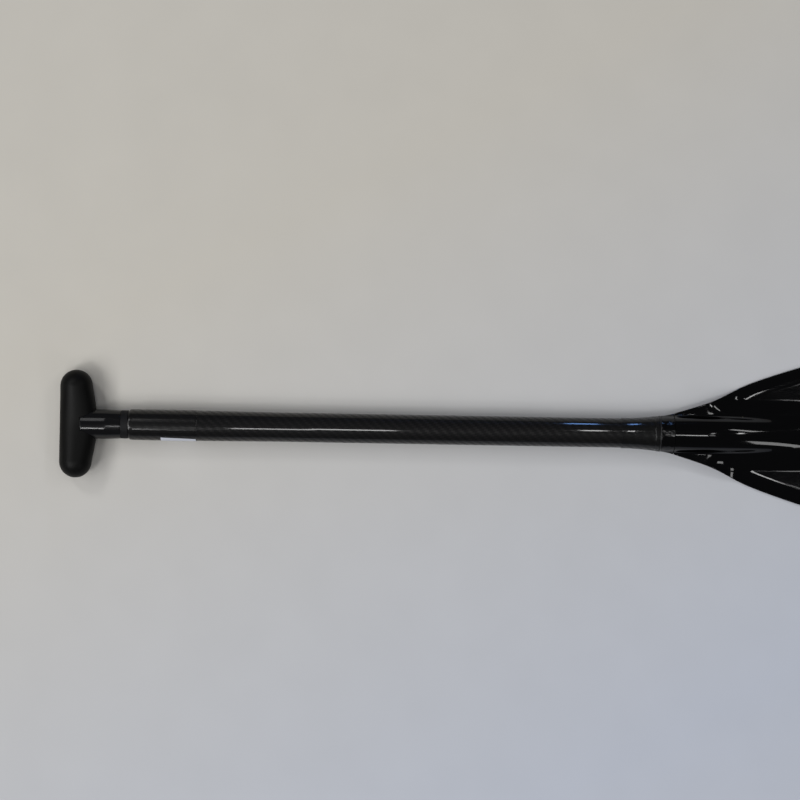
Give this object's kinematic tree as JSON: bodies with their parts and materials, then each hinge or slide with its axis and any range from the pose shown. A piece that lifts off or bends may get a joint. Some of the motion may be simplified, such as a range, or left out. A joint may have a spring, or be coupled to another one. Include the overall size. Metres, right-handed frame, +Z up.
{
  "type": "sea walking paddle",
  "caption": "Single-blade paddle for walking in the sea: T grip, straight carbon-weave shaft, flared neck and a flat-faced blade with a spine on its back.",
  "frame": {"origin": "centre of the paddle's bounding box on the plane that it lies on", "axes": "+X along the shaft from the grip to the blade's tip, +Y across the blade, +Z up out of the blade's back"},
  "size_m": [1.0814, 0.19, 0.032],
  "materials": {
    "gloss_moulding": "gloss black moulded nylon",
    "matte_skin": "fine matte moulded skin",
    "seal_ring": "matte",
    "satin_carbon": "satin lacquer over carbon twill",
    "carbon_twill": "gloss lacquer over carbon twill",
    "seam_resin": "satin resin seam",
    "blade_lacquer": "deep gloss black lacquer",
    "foam": "closed-cell foam"
  },
  "bodies": {
    "root": {"grip_core": "gloss_moulding", "grip_skin": "matte_skin", "stem_ring": "seal_ring", "socket_sleeve": "satin_carbon", "shaft_tube": "carbon_twill", "upper_bung": "foam", "lower_bung": "foam", "joint_flare": "carbon_twill", "joint_bead": "seam_resin", "neck_collar": "blade_lacquer", "blade_back_shell": "blade_lacquer", "blade_face_shell": "blade_lacquer", "blade_core": "foam"}
  },
  "joints": []
}
